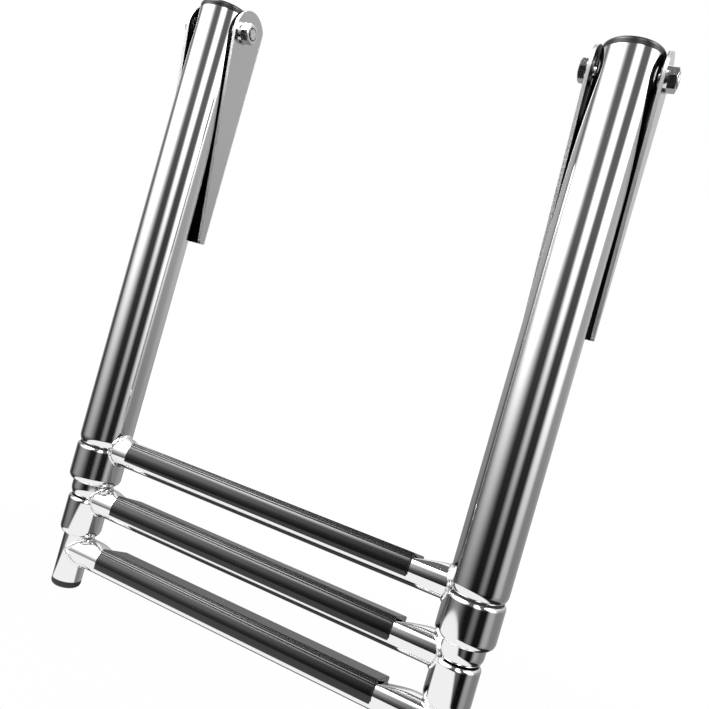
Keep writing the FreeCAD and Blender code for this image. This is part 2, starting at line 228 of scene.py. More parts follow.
def circle(count):
    """Angles of so many places spaced evenly round a circle."""
    return np.linspace(0, 2 * np.pi, count, endpoint=False)


def unit(vectors):
    """The vectors, each divided by its length."""
    return vectors / np.maximum(np.linalg.norm(vectors, axis=-1, keepdims=True), 1e-9)


def grid_faces(rows, cols, join_rows, join_cols):
    """Four-sided faces between a grid's points; join adds those from its last row or column to its first."""
    r = np.arange(rows if join_rows else rows - 1)[:, None]
    c = np.arange(cols if join_cols else cols - 1)[None, :]
    here, after = r * cols, (r + 1) % rows * cols
    side = (c + 1) % cols
    return np.stack([here + c, here + side, after + side, after + c], -1).reshape(-1, 4)


def signed_volume(pts, quads):
    """Sum of the volumes between the origin and each face: negative where the faces point inwards."""
    a, b, c, d = (pts[quads[:, i]] for i in range(4))
    return float((a * np.cross(b, c)).sum() + (a * np.cross(c, d)).sum())


def smooth_mesh(name, pts, faces):
    mesh = bpy.data.meshes.new(name)
    mesh.from_pydata(pts.tolist(), [], faces)
    mesh.update()
    mesh.shade_smooth()
    return mesh


def new_object(name, data):
    """An object for that data, linked to the scene."""
    obj = bpy.data.objects.new(name, data)
    bpy.context.scene.collection.objects.link(obj)
    return obj


def ring_mesh(name, grid, closed=False, sharp=40.0):
    """A smooth mesh from a grid of closed rings. An open stack of rings gets a flat face at each end."""
    rows, cols = grid.shape[:2]
    pts = grid.reshape(-1, 3)
    quads = grid_faces(rows, cols, closed, True)
    turn = signed_volume(pts - pts.mean(0), quads) < 0
    if turn:
        quads = quads[:, ::-1]
    faces = quads.tolist()
    if not closed:
        first = np.arange(cols)
        last = first + (rows - 1) * cols
        faces.append((first if turn else first[::-1]).tolist())
        faces.append((last[::-1] if turn else last).tolist())
    mesh = smooth_mesh(name, pts, faces)
    mesh.set_sharp_from_angle(angle=math.radians(sharp))
    return mesh


def turned(profile, x, y, around):
    """Surface of revolution about an upright axis: each profile point (r, z) goes round the circle r."""
    a = circle(around)
    r, z = profile[:, :1], profile[:, 1:]
    return np.stack([x + r * np.cos(a), y + r * np.sin(a), z + 0 * a], -1)


def rings_along_x(x, radius, y, z, around):
    """Rings about an axis along X: y + r cos(a) and z + r sin(a) at each x, with r a grid or a column."""
    a = circle(around)[None, :]
    x = np.array(x)[:, None]
    return np.stack([x + 0 * a, y + radius * np.cos(a), z + radius * np.sin(a)], -1)


def piece(name, mesh, body, slot, finish, *nodes):
    """A finished piece at the origin that rides on its body and stands for the named solids."""
    obj = new_object(name, mesh)
    mesh.materials.append(material(finish))
    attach(obj, body)
    if nodes:
        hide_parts(*nodes)


def upright_sizes(node):
    """Axis place, radius, bottom and top of an upright round node."""
    lo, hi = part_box(node)
    return (lo.x + hi.x) / 2, (lo.y + hi.y) / 2, (hi.x - lo.x) / 2, lo.z, hi.z


def turned_piece(kind, side, profile, body, slot, finish, closed=True):
    """A profile turned about the axis of the upright solid that the new piece replaces."""
    node = f"{kind}_{side}"
    x, y = upright_sizes(node)[:2]
    mesh = ring_mesh(node + "_turned", turned(profile, x, y, settings().tubes.around), closed)
    piece(f"{side}_{kind}", mesh, body, slot, finish, node)


# Shader nodes

def new_node(tree, kind, inputs=None, **attributes):
    """A node of that kind: its attributes are set first, then its inputs are linked or filled."""
    node = tree.nodes.new("ShaderNode" + kind)
    for name, value in attributes.items():
        setattr(node, name, value)
    for label, value in (inputs or {}).items():
        if hasattr(value, "is_linked"):
            tree.links.new(value, node.inputs[label])
        else:
            node.inputs[label].default_value = value
    return node


def math_node(tree, operation, *values):
    return new_node(tree, "Math", dict(enumerate(values)), operation=operation).outputs[0]


def vector_math(tree, operation, *values, output="Vector"):
    return new_node(tree, "VectorMath", dict(enumerate(values)), operation=operation).outputs[output]


def split_xyz(tree, vector):
    return new_node(tree, "SeparateXYZ", {0: vector}).outputs


def map_range(tree, value, from_min, from_max, to_min, to_max, smooth=False):
    """The value taken from one range to the other, straight or along an S-shaped curve."""
    inputs = {"Value": value, "From Min": from_min, "From Max": from_max, "To Min": to_min, "To Max": to_max}
    kind = "SMOOTHSTEP" if smooth else "LINEAR"
    return new_node(tree, "MapRange", inputs, interpolation_type=kind).outputs["Result"]


def noise(tree, vector, scale, detail=3.0, rough=0.55):
    inputs = {"Vector": vector, "Scale": scale, "Detail": detail, "Roughness": rough}
    return new_node(tree, "TexNoise", inputs).outputs["Fac"]


def object_place(tree):
    return new_node(tree, "TexCoord").outputs["Object"]


def group(name, inputs, outputs):
    """An empty shader node group; returns it with the sockets of what it is given and what it gives."""
    tree = bpy.data.node_groups.new(name, "ShaderNodeTree")
    for way, sockets in (("INPUT", inputs), ("OUTPUT", outputs)):
        for kind, labels in sockets.items():
            for label in labels:
                tree.interface.new_socket(name=label, in_out=way, socket_type="NodeSocket" + kind)
    return tree, tree.nodes.new("NodeGroupInput").outputs, tree.nodes.new("NodeGroupOutput").inputs


def group_node(tree, name, make, inputs):
    """A node for the group of that name, which is made when it is first asked for."""
    return new_node(tree, "Group", inputs, node_tree=bpy.data.node_groups.get(name) or make())


def blank_material(name):
    """A new material with its tree and its Principled shader."""
    material = bpy.data.materials.new(name)
    material.use_nodes = True
    tree = material.node_tree
    return material, tree, next(n for n in tree.nodes if n.type == "BSDF_PRINCIPLED")


def show(tree, surface):
    """Links a shader to the material's output."""
    tree.links.new(surface, next(n for n in tree.nodes if n.type == "OUTPUT_MATERIAL").inputs["Surface"])


# Finishes

MARK_SCALE, SMEAR_SCALE, CLOUD_SCALE = 900.0, 30.0, 60.0
CUT_ROUGHNESS, DULL_ROUGHNESS = 0.45, 0.5
INSIDE_MARGIN, OUTSIDE_MARGIN = 0.3 * MM, 0.05 * MM
PLASTIC_IOR = 1.5
COAT_ROUGHNESS = 0.07
POLISH_DEPTH = 0.02 * MM
GRAIN_DEPTH = 0.05 * MM
STEELS = {
    # stretch of the marks, roughness, smears, bump
    "stile steel": ((1.0, 1.0, 0.03), 0.05, 0.02, 0.03),
    "rung steel": ((0.05, 1.0, 1.0), 0.06, 0.03, 0.03),
    "weld steel": ((1.0, 1.0, 1.0), 0.26, 0.05, 0.1),
    "sheet steel": ((1.0, 1.0, 0.06), 0.10, 0.04, 0.03),
    "bolt steel": ((1.0, 1.0, 1.0), 0.16, 0.05, 0.05),
}
MOULDED = {
    # name of the colour's setting, roughness, scale of the grain, bump, coat
    "tread plastic": ("plastic", 0.13, 1100.0, 0.05, 0.2),
    "cap plastic": ("rubber", 0.32, 1500.0, 0.15, 0.0),
    "foot rubber": ("rubber", 0.5, 1200.0, 0.25, 0.0),
    "nylon": ("nylon", 0.4, 1300.0, 0.1, 0.0),
}


def polish_group():
    """Fine drawn-out polishing marks and faint hand smears on steel."""
    tree, given, gives = group("polish marks", {"Vector": ["Vector"], "Float": ["Base", "Smear"]},
                               {"Float": ["Roughness", "Height"]})
    marks = noise(tree, given["Vector"], MARK_SCALE, 4.0, 0.6)
    smears = noise(tree, given["Vector"], SMEAR_SCALE, 2.0)
    lift = map_range(tree, smears, 0.55, 0.8, 0.0, 1.0, smooth=True)
    fine = map_range(tree, marks, 0.3, 0.7, 0.8, 1.25)
    base = math_node(tree, "MULTIPLY", fine, given["Base"])
    extra = math_node(tree, "MULTIPLY", lift, given["Smear"])
    tree.links.new(math_node(tree, "ADD", base, extra), gives["Roughness"])
    tree.links.new(marks, gives["Height"])
    return tree


def grain_group():
    """Moulded grain whose sheen and shade vary in soft clouds."""
    tree, given, gives = group("moulded grain",
                               {"Vector": ["Vector"], "Float": ["Scale", "Base"], "Color": ["Colour"]},
                               {"Color": ["Colour"], "Float": ["Roughness", "Height"]})
    grain = noise(tree, given["Vector"], given["Scale"], 3.0, 0.5)
    cloud = noise(tree, given["Vector"], CLOUD_SCALE, 3.0, 0.5)
    change = map_range(tree, cloud, 0.3, 0.7, 0.85, 1.2)
    shade = map_range(tree, cloud, 0.35, 0.75, 0.8, 1.5)
    tinted = new_node(tree, "VectorMath", {0: given["Colour"], "Scale": shade}, operation="SCALE")
    tree.links.new(tinted.outputs[0], gives["Colour"])
    tree.links.new(math_node(tree, "MULTIPLY", change, given["Base"]), gives["Roughness"])
    tree.links.new(grain, gives["Height"])
    return tree


def painted_shade_inside_group():
    """Painted shade on the dull inside of a folded sheet, and satin cut edges, found by place.

    The inside is nearer to its stile's axis than Half and before Back. All else that is nearer than Outer
    is a cut edge or the flat base.
    """
    tree, given, gives = group("painted shade and dull inside",
                               {"Vector": ["Vector"], "Color": ["Outside", "Inside"],
                                "Float": ["Half", "Outer", "Back", "Span", "Roughness", "Cut", "Dull"]},
                               {"Color": ["Colour"], "Float": ["Roughness"]})
    split = split_xyz(tree, given["Vector"])
    aside = math_node(tree, "PINGPONG", split["X"], math_node(tree, "MULTIPLY", given["Span"], 0.5))
    within = math_node(tree, "LESS_THAN", aside, given["Half"])
    before = math_node(tree, "LESS_THAN", split["Y"], given["Back"])
    mask = math_node(tree, "MULTIPLY", within, before)
    # painted shade: where the mask holds, the inside gets the near-black colour
    mix = new_node(tree, "Mix", {"Factor": mask}, data_type="RGBA")
    colours = [socket for socket in mix.inputs if socket.type == "RGBA"]
    tree.links.new(given["Outside"], colours[0])
    tree.links.new(given["Inside"], colours[1])
    tree.links.new(next(socket for socket in mix.outputs if socket.type == "RGBA"), gives["Colour"])
    cut = math_node(tree, "LESS_THAN", aside, given["Outer"])
    edge = map_range(tree, cut, 0.0, 1.0, given["Roughness"], given["Cut"])
    tree.links.new(map_range(tree, mask, 0.0, 1.0, edge, given["Dull"]), gives["Roughness"])
    return tree


def stretched_place(tree, stretch):
    """Object coordinates drawn out along the piece, so that marks run the way it was polished."""
    return new_node(tree, "Mapping", {"Vector": object_place(tree), "Scale": stretch}).outputs["Vector"]


def add_bump(tree, shader, height, strength, distance):
    bump = new_node(tree, "Bump", {"Strength": strength, "Distance": distance, "Height": height})
    tree.links.new(bump.outputs["Normal"], shader.inputs["Normal"])


def steel(name, stretch, base, smear, bump):
    """Mirror-polished stainless steel."""
    material, tree, shader = blank_material(name)
    shader.inputs["Base Color"].default_value = (*settings().finish.steel, 1.0)
    shader.inputs["Metallic"].default_value = 1.0
    marks = group_node(tree, "polish marks", polish_group,
                       {"Vector": stretched_place(tree, stretch), "Base": base, "Smear": smear})
    tree.links.new(marks.outputs["Roughness"], shader.inputs["Roughness"])
    add_bump(tree, shader, marks.outputs["Height"], bump, POLISH_DEPTH)
    return material


def folded_steel(name):
    """Polished sheet whose inside, where the polishing wheel doesn't reach, is left dull and is painted near
    black as painted shade between the bracket's walls.
    """
    material = steel(name, *STEELS[name])
    tree = material.node_tree
    shader = next(n for n in tree.nodes if n.type == "BSDF_PRINCIPLED")
    finish, sheet = settings().finish, settings().pivots.sheet
    lo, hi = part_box("bracket_left")
    half = (hi.x - lo.x) / 2
    # The inside's near-black colour is painted shade between the bracket's walls; its dull roughness and the
    # satin cut edges are real.
    faces = group_node(tree, "painted shade and dull inside", painted_shade_inside_group,
                       {"Vector": object_place(tree), "Half": half - sheet + INSIDE_MARGIN,
                        "Outer": half - OUTSIDE_MARGIN, "Back": hi.y - sheet / 2,
                        "Span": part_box("bracket_right")[0].x - lo.x, "Outside": (*finish.sheet, 1.0),
                        "Inside": (*finish.inside, 1.0), "Cut": CUT_ROUGHNESS, "Dull": DULL_ROUGHNESS,
                        "Roughness": shader.inputs["Roughness"].links[0].from_socket})
    tree.links.new(faces.outputs["Colour"], shader.inputs["Base Color"])
    tree.links.new(faces.outputs["Roughness"], shader.inputs["Roughness"])
    return material


def moulded(name, colour, base, scale, bump, coat):
    """Moulded plastic or rubber with a fine grain."""
    material, tree, shader = blank_material(name)
    grain = group_node(tree, "moulded grain", grain_group,
                       {"Vector": stretched_place(tree, (0.25, 1.0, 1.0)), "Scale": scale, "Base": base,
                        "Colour": (*getattr(settings().finish, colour), 1.0)})
    tree.links.new(grain.outputs["Colour"], shader.inputs["Base Color"])
    tree.links.new(grain.outputs["Roughness"], shader.inputs["Roughness"])
    add_bump(tree, shader, grain.outputs["Height"], bump, GRAIN_DEPTH)
    for label, value in (("IOR", PLASTIC_IOR), ("Coat Weight", coat), ("Coat Roughness", COAT_ROUGHNESS),
                         ("Coat IOR", PLASTIC_IOR)):
        shader.inputs[label].default_value = value
    return material


def material(kind):
    """The finish of that kind, made when it is first asked for."""
    found = bpy.data.materials.get(kind)
    if found:
        return found
    if kind == "sheet steel":
        return folded_steel(kind)
    if kind in STEELS:
        return steel(kind, *STEELS[kind])
    return moulded(kind, *MOULDED[kind])


# Stiles

INSIDE = {"outer": "middle", "middle": "lower"}
COLLAR_UNDER = {"outer": "upper", "middle": "middle"}


def seam_height(tube):
    """Height of the visible seam at the lower end of the outer or the middle tube."""
    sizes = settings().tubes
    drop = sizes.outer_seam if tube == "outer" else sizes.middle_seam
    return upright_sizes(tube + "_tube_left")[3] - drop


def collar_foot(collar):
    """Height of the lower end of the upper or the middle collar."""
    return upright_sizes(collar + "_collar_left")[3] - settings().tubes.collar_drop


def bore_radius(tube, side="left"):
    """Radius of the hole in a tube's drawn-in end and its collar: that of the tube inside, and some air."""
    return upright_sizes(f"{INSIDE[tube]}_tube_{side}")[2] + settings().tubes.bore_gap


def drawn_in(r, bore, round_r, z0):
    """Lower end of a turned wall, drawn in to its bore, and the height where its arcs start.

    The outer arc of radius R turns by acos((bore + lip - r + R) / R), and the inner one, of radius
    R - wall, by acos((bore - r + R) / (R - wall)).
    """
    sizes = settings().tubes
    inner_r, lip = round_r - sizes.wall, bore + sizes.lip
    middle = r - round_r
    outer_a = math.acos((lip - middle) / round_r)
    inner_a = math.acos((bore - middle) / inner_r)
    z = z0 + round_r * math.sin(outer_a)
    shoulder = z - inner_r * math.sin(inner_a)
    return chain(bend((middle, z), round_r, 0, -outer_a, FINE_STEP),
                 through((lip, z0), (bore, z0), (bore, shoulder)),
                 bend((middle, z), inner_r, -inner_a, 0, FINE_STEP)), z


def closed_tube(r, bore, z0, z1):
    """Profile of a tube with its lower end drawn in to the bore radius."""
    sizes = settings().tubes
    inner = r - sizes.wall
    end, z = drawn_in(r, bore, sizes.swage, z0)
    return chain(through((inner, z1), (r, z1), (r, z)), end, straight((inner, z), (inner, z1)))[:-1]


def collar_profile(r, bore, z0, z1):
    """Profile of a hollow collar: small round at the top, larger round at the foot."""
    sizes = settings().tubes
    wall, top = sizes.wall, sizes.collar_top
    end, z = drawn_in(r, bore, sizes.collar_foot, z0)
    return chain(straight((bore, z1), (r - top, z1)),
                 bend((r - top, z1 - top), top, QUARTER, 0, FINE_STEP),
                 straight((r, z1 - top), (r, z)), end,
                 through((r - wall, z), (r - wall, z1 - wall), (bore, z1 - wall), (bore, z1)))[:-1]


class LADDER_OT_stiles(bpy.types.Operator):
    """Stile tubes and collars as smooth turned surfaces"""
    bl_idname = "boat_ladder.stiles"
    bl_label = "Stiles"

    def execute(self, context):
        steel_look = ("stainless", "stile steel")
        for side in SIDES:
            for tube, collar in COLLAR_UNDER.items():
                r, _, top = upright_sizes(f"{tube}_tube_{side}")[2:]
                profile = closed_tube(r, bore_radius(tube, side), seam_height(tube), top)
                turned_piece(tube + "_tube", side, profile, collar + "_section", *steel_look)
            for tube, collar in COLLAR_UNDER.items():
                r = upright_sizes(f"{collar}_collar_{side}")[2]
                profile = collar_profile(r, bore_radius(tube, side), collar_foot(collar), seam_height(tube))
                turned_piece(collar + "_collar", side, profile, collar + "_section", *steel_look)
            r, bottom, top = upright_sizes("lower_tube_" + side)[2:]
            inner = r - settings().tubes.wall
            profile = chain(through((inner, top), (r, top), (r, bottom), (inner, bottom), (inner, top)))[:-1]
            turned_piece("lower_tube", side, profile, "lower_section", *steel_look)
        return {"FINISHED"}


def plug_profile(r, inside, rim, end, edge, step):
    """Half section of a cap or foot: a plug inside the tube's wall, a rim, and an end with a round edge."""
    inner, way = r - settings().tubes.wall, math.copysign(1.0, end - rim)
    shoulder = end - way * edge
    return chain((AXIS_HOLE, inside), through((inner, inside), (inner, rim), (r, rim), (r, shoulder)),
                 bend((r - edge, shoulder), edge, 0, way * QUARTER, step),
                 straight((r - edge, end), (AXIS_HOLE, end)))


class LADDER_OT_ends(bpy.types.Operator):
    """Black top caps and feet"""
    bl_idname = "boat_ladder.ends"
    bl_label = "Caps and feet"

    def execute(self, context):
        sizes = settings().ends
        for side in SIDES:
            r, bottom = upright_sizes("top_cap_" + side)[2:4]
            rim = bottom + sizes.plug
            profile = plug_profile(r, bottom, rim, rim + sizes.cap_rise, sizes.cap_edge, FINE_STEP)
            turned_piece("top_cap", side, profile, "upper_section", "black_cap", "cap plastic", False)
            r, bottom, top = upright_sizes("foot_" + side)[2:]
            profile = plug_profile(r, top, top - sizes.plug, bottom, sizes.foot_edge, ARC_STEP)
            turned_piece("foot", side, profile, "lower_section", "black_foot", "foot rubber", False)
        return {"FINISHED"}


# Rungs

STATIONS = 110
ROUND = 144
BEAD_ALONG, BEAD_ACROSS = 480, 20
SPACING, THICKNESS = (0.7, 1.3), (0.9, 1.1)
RIPPLE_LAG = 0.25
THINNEST_BEAD = 0.3 * MM
FLAT_CLEAR = 0.2 * MM
SADDLE_LEAST, BEAD_LEAST = 0.3 * MM, 0.5 * MM
SEED = 7
WELDED_TO = {"upper": "outer", "middle": "middle", "lower": "lower"}
COLLAR_ABOVE = {"middle": "upper", "lower": "middle"}


def stile_skin(name, r, z):
    """Radius of the stile's skin at the height z beside a rung.

    Above the seam it is r - R + sqrt(R^2 - d^2) in the swage, and below it the same in the collar's top
    round, with d the depth into that arc.
    """
    tube = WELDED_TO[name]
    if tube not in INSIDE:
        return r + 0 * z
    sizes = settings().tubes
    seam = seam_height(tube)
    swage, top = sizes.swage, sizes.collar_top
    lip = bore_radius(tube) + sizes.lip
    rise = math.sqrt(swage ** 2 - (lip - r + swage) ** 2)
    above = r - swage + np.sqrt(swage ** 2 - np.clip(seam + rise - z, 0, rise) ** 2)
    collar_r = upright_sizes(name + "_collar_left")[2]
    below = collar_r - top + np.sqrt(top ** 2 - np.clip(z - seam + top, 0, top) ** 2)
    return np.where(z > seam, above, below)


def rung_sizes(name):
    """A rung's axis and radius, the stiles' two axes and radius, and the tread's two ends."""
    lo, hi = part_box(name + "_rung")
    stile = WELDED_TO[name] + "_tube_"
    left, y, stile_r = upright_sizes(stile + "left")[:3]
    start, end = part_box(name + "_tread")
    return SimpleNamespace(y=y, z=(lo.z + hi.z) / 2, r=(hi.y - lo.y) / 2, left=left,
                           right=upright_sizes(stile + "right")[0], stile_r=stile_r, start=start.x, end=end.x)


def leaned(v, n, tilt):
    """Depth and height of a point at v behind and n above the rung's axis, after the tread's lean."""
    return v * math.cos(tilt) + n * math.sin(tilt), n * math.cos(tilt) - v * math.sin(tilt)


def pressed_radius(r, height, angle, soft):
    """Distance from the axis to the rung's skin: the circle r, cut by the level line at that height."""
    cut = height / np.maximum(np.sin(angle), 1e-3)
    return -soft * np.logaddexp(-r / soft, -cut / soft)


class LADDER_OT_rungs(bpy.types.Operator):
    """Rung tubes, pressed flat under the treads and fitted to the stiles"""
    bl_idname = "boat_ladder.rungs"
    bl_label = "Rungs"

    def execute(self, context):
        for name in SECTIONS:
            outer = self.skin(name, 0.0)
            inner = self.skin(name, settings().rungs.wall)
            mesh = ring_mesh(name + "_rung_pressed", np.concatenate([outer, inner[::-1]]), closed=True)
            piece(name + "_rung_tube", mesh, name + "_section", "stainless", "rung steel", name + "_rung")
        return {"FINISHED"}

    def skin(self, name, inset):
        """Grid over the rung: stations from saddle to saddle, angles round the axis.

        A saddle lies sqrt(reach^2 - y^2) from its stile's axis, with reach the stile's radius less the tuck.
        """
        sizes, rung = settings().rungs, rung_sizes(name)
        u = np.linspace(0, 1, STATIONS)[:, None]
        a = circle(ROUND)[None, :]
        y, z = leaned(rung.r * np.cos(a), rung.r * np.sin(a), sizes.tilt)
        reach = stile_skin(name, rung.stile_r, rung.z + z) - sizes.tuck
        saddle = np.sqrt(np.maximum(reach ** 2 - y ** 2, SADDLE_LEAST ** 2))
        x = (rung.left + saddle) * (1 - u) + (rung.right - saddle) * u
        knots = [rung.left + sizes.press_start, rung.start, rung.end, rung.right - sizes.press_start]
        clear = rung.r + FLAT_CLEAR
        height = np.interp(x, knots, [clear, sizes.flat, sizes.flat, clear])
        skin = pressed_radius(rung.r, height, a, sizes.press_round) - inset
        y, z = leaned(skin * np.cos(a), skin * np.sin(a), sizes.tilt)
        return np.stack([x, rung.y + y, rung.z + z], -1)


class LADDER_OT_welds(bpy.types.Operator):
    """Rippled weld beads where the rungs meet the stiles"""
    bl_idname = "boat_ladder.welds"
    bl_label = "Welds"

    def execute(self, context):
        rng = np.random.default_rng(SEED)
        for name in SECTIONS:
            for side in SIDES:
                mesh = ring_mesh(f"{name}_{side}_bead", self.bead(name, side, rng), closed=True, sharp=180.0)
                piece(f"{name}_{side}_weld", mesh, name + "_section", "stainless", "weld steel")
        return {"FINISHED"}

    def bead(self, name, side, rng):
        """A round bead carried along the saddle curve of rung and stile, rippled like laid metal.

        Its radius is bead * size * (1 - ripple + ripple * sin(pi * lag)^2), where lag runs from 0 to 1 over
        each ripple and comes later on the bead's far side.
        """
        sizes, rung = settings().rungs, rung_sizes(name)
        way, axis_x = (1.0, rung.left) if side == "left" else (-1.0, rung.right)
        t, s = circle(BEAD_ALONG), circle(BEAD_ACROSS)
        y, z = rung.r * np.cos(t), rung.r * np.sin(t)
        x = way * np.sqrt(np.maximum(rung.stile_r ** 2 - y ** 2, BEAD_LEAST ** 2))
        curve = np.stack([x, y, z], -1)
        stile_out = unit(np.stack([x, y, 0 * t], -1))
        rung_out = np.stack([0 * t, np.cos(t), np.sin(t)], -1)
        tangent = unit(np.roll(curve, -1, 0) - np.roll(curve, 1, 0))
        cross = unit(np.cross(tangent, unit(stile_out + rung_out)))
        open_way = np.cross(cross, tangent)
        jitter = np.cumsum(rng.uniform(*SPACING, sizes.ripples))
        marks = np.r_[0.0, jitter / jitter[-1]] * 2 * np.pi
        phase = np.interp(t, marks, np.arange(sizes.ripples + 1.0)) % 1.0
        size = np.interp(t, marks, np.r_[rng.uniform(*THICKNESS, sizes.ripples), 1.0])
        lag = phase[:, None] + RIPPLE_LAG * (1 - np.cos(s))[None, :]
        hump = np.sin(np.pi * lag) ** 2
        radius = sizes.bead * size[:, None] * (1 - sizes.ripple + sizes.ripple * hump)
        middle = curve - open_way * sizes.bead_sink + np.array([axis_x, rung.y, rung.z])
        if name in COLLAR_ABOVE:
            room = collar_foot(COLLAR_ABOVE[name]) - sizes.bead_room - middle[:, 2]
            radius = np.minimum(radius, np.maximum(room, THINNEST_BEAD)[:, None])
        points = middle[:, None] + radius[..., None] * (np.cos(s)[None, :, None] * open_way[:, None]
                                                        + np.sin(s)[None, :, None] * cross[:, None])
        return self.kept_in_wall(points, axis_x, rung.y, rung.stile_r - sizes.bead_depth)

    def kept_in_wall(self, points, x, y, least):
        """Moves points nearer than the least radius to the stile's axis out to that radius."""
        away = points[..., :2] - (x, y)
        distance = np.linalg.norm(away, axis=-1, keepdims=True)
        points[..., :2] = (x, y) + away * np.maximum(1.0, least / distance)
        return points


# Treads

NOSE_POINTS = 220
GROOVE_SHARE = 0.36


class LADDER_OT_treads(bpy.types.Operator):
    """Moulded treads with a grooved nose, front wall, flat top and thick back edge"""
    bl_idname = "boat_ladder.treads"
    bl_label = "Treads"

    def execute(self, context):
        for name in SECTIONS:
            mesh = ring_mesh(name + "_tread_moulded", self.surface(name), sharp=35.0)
            piece(name + "_tread_cover", mesh, name + "_section", "tread_plastic", "tread plastic",
                  name + "_tread")
        return {"FINISHED"}

    def section(self, r):
        """Closed outline of a tread: (v, n) points behind and above the rung's axis.

        A groove is groove * cos(pi / 2 * off / width)^2 deep, with off the distance from its middle.
        """
        s = settings().treads
        inner, outer = r + s.gap, r + s.skin
        flat = settings().rungs.flat + s.gap
        front = math.pi + s.wrap
        nose = math.pi - math.asin(s.top / outer)
        corner = math.asin(flat / inner)
        heel_angle = -math.asin(s.heel / inner)
        a = np.linspace(front, nose, NOSE_POINTS)
        depth = np.zeros_like(a)
        width = GROOVE_SHARE * s.pitch
        for i in range(s.grooves):
            off = (a - nose) * outer - (i + 1) * s.pitch
            depth += s.groove * np.cos(np.clip(off / width, -1, 1) * np.pi / 2) ** 2
        wall = (outer - depth)[:, None] * np.stack([np.cos(a), np.sin(a)], -1)
        base, inset = s.top - s.back_thick, s.back - s.edge
        under = np.linspace(0, 1, 10)[:, None]
        heel = np.array([outer + 0.2 * MM, -s.heel])
        start = np.array([inset, base])
        sag = np.array([-s.hollow, s.hollow]) * 4 * under * (1 - under)
        return chain(wall, straight(wall[-1], (inset, s.top)),
                     bend((inset, s.top - s.edge), s.edge, QUARTER, 0),
                     straight((s.back, s.top - s.edge), (s.back, base + s.edge)),
                     bend((inset, base + s.edge), s.edge, 0, -QUARTER), start + (heel - start) * under + sag,
                     straight(heel, (inner * math.cos(heel_angle), inner * math.sin(heel_angle))),
                     bend((0, 0), inner, heel_angle, corner),
                     straight((inner * math.cos(corner), flat), (-inner * math.cos(corner), flat)),
                     bend((0, 0), inner, math.pi - corner, front, FINE_STEP))

    def surface(self, name):
        """The outline carried along the rung, drawn in a little at both ends as a rounded bevel."""
        s, rung = settings().treads, rung_sizes(name)
        outline = self.section(rung.r)
        ahead = np.roll(outline, -1, 0) - np.roll(outline, 1, 0)
        inward = unit(np.stack([ahead[:, 1], -ahead[:, 0]], -1))
        area = (outline[:, 0] * np.roll(outline[:, 1], -1) - np.roll(outline[:, 0], -1) * outline[:, 1]).sum()
        inward *= -np.sign(area)
        q = np.linspace(0, QUARTER, 5)
        draw = 0.5 * s.bevel * (1 - np.sin(q))
        run = s.bevel * (1 - np.cos(q))
        body = np.linspace(rung.start + s.bevel + SUPPORT, rung.end - s.bevel - SUPPORT, 12)
        x = np.r_[rung.start + run, body, (rung.end - run)[::-1]]
        drawn = np.r_[draw, 0 * body, draw[::-1]]
        section = outline[None] + drawn[:, None, None] * inward[None]
        y, z = leaned(section[..., 0], section[..., 1], settings().rungs.tilt)
        return np.stack([x[:, None] + 0 * y, rung.y + y, rung.z + z], -1)


# Brackets and pivots

HEX_ROUND, RING_ROUND = 96, 64
CONE = 1.73
CHAMFER_DEPTH = 1.0 * MM
BOLT_END_CHAMFER = 0.5 * MM
RING_BORE, RING_RADIUS = 4.03 * MM, 4.7 * MM
RING_PROUD, RING_DEEP = 0.2 * MM, 1.2 * MM
CAD_FINISHES = {"bracket_": "sheet steel", "pivot_washers_": "bolt steel", "upper_guide_bush_": "nylon",
                "middle_guide_bush_": "nylon", "middle_slide_bush_": "nylon", "lower_slide_bush_": "nylon"}


def hex_radius(depth, turn):
    """Rings of a hexagon, (flats / 2) / cos(angle from a flat), cut by a cone that widens with the depth."""
    s = settings().pivots
    hexagon = s.flats / 2 / np.cos((circle(HEX_ROUND) - turn) % (math.pi / 3) - math.pi / 6)
    return np.minimum(hexagon[None, :], (s.flats / 2 - s.chamfer + CONE * depth)[:, None])


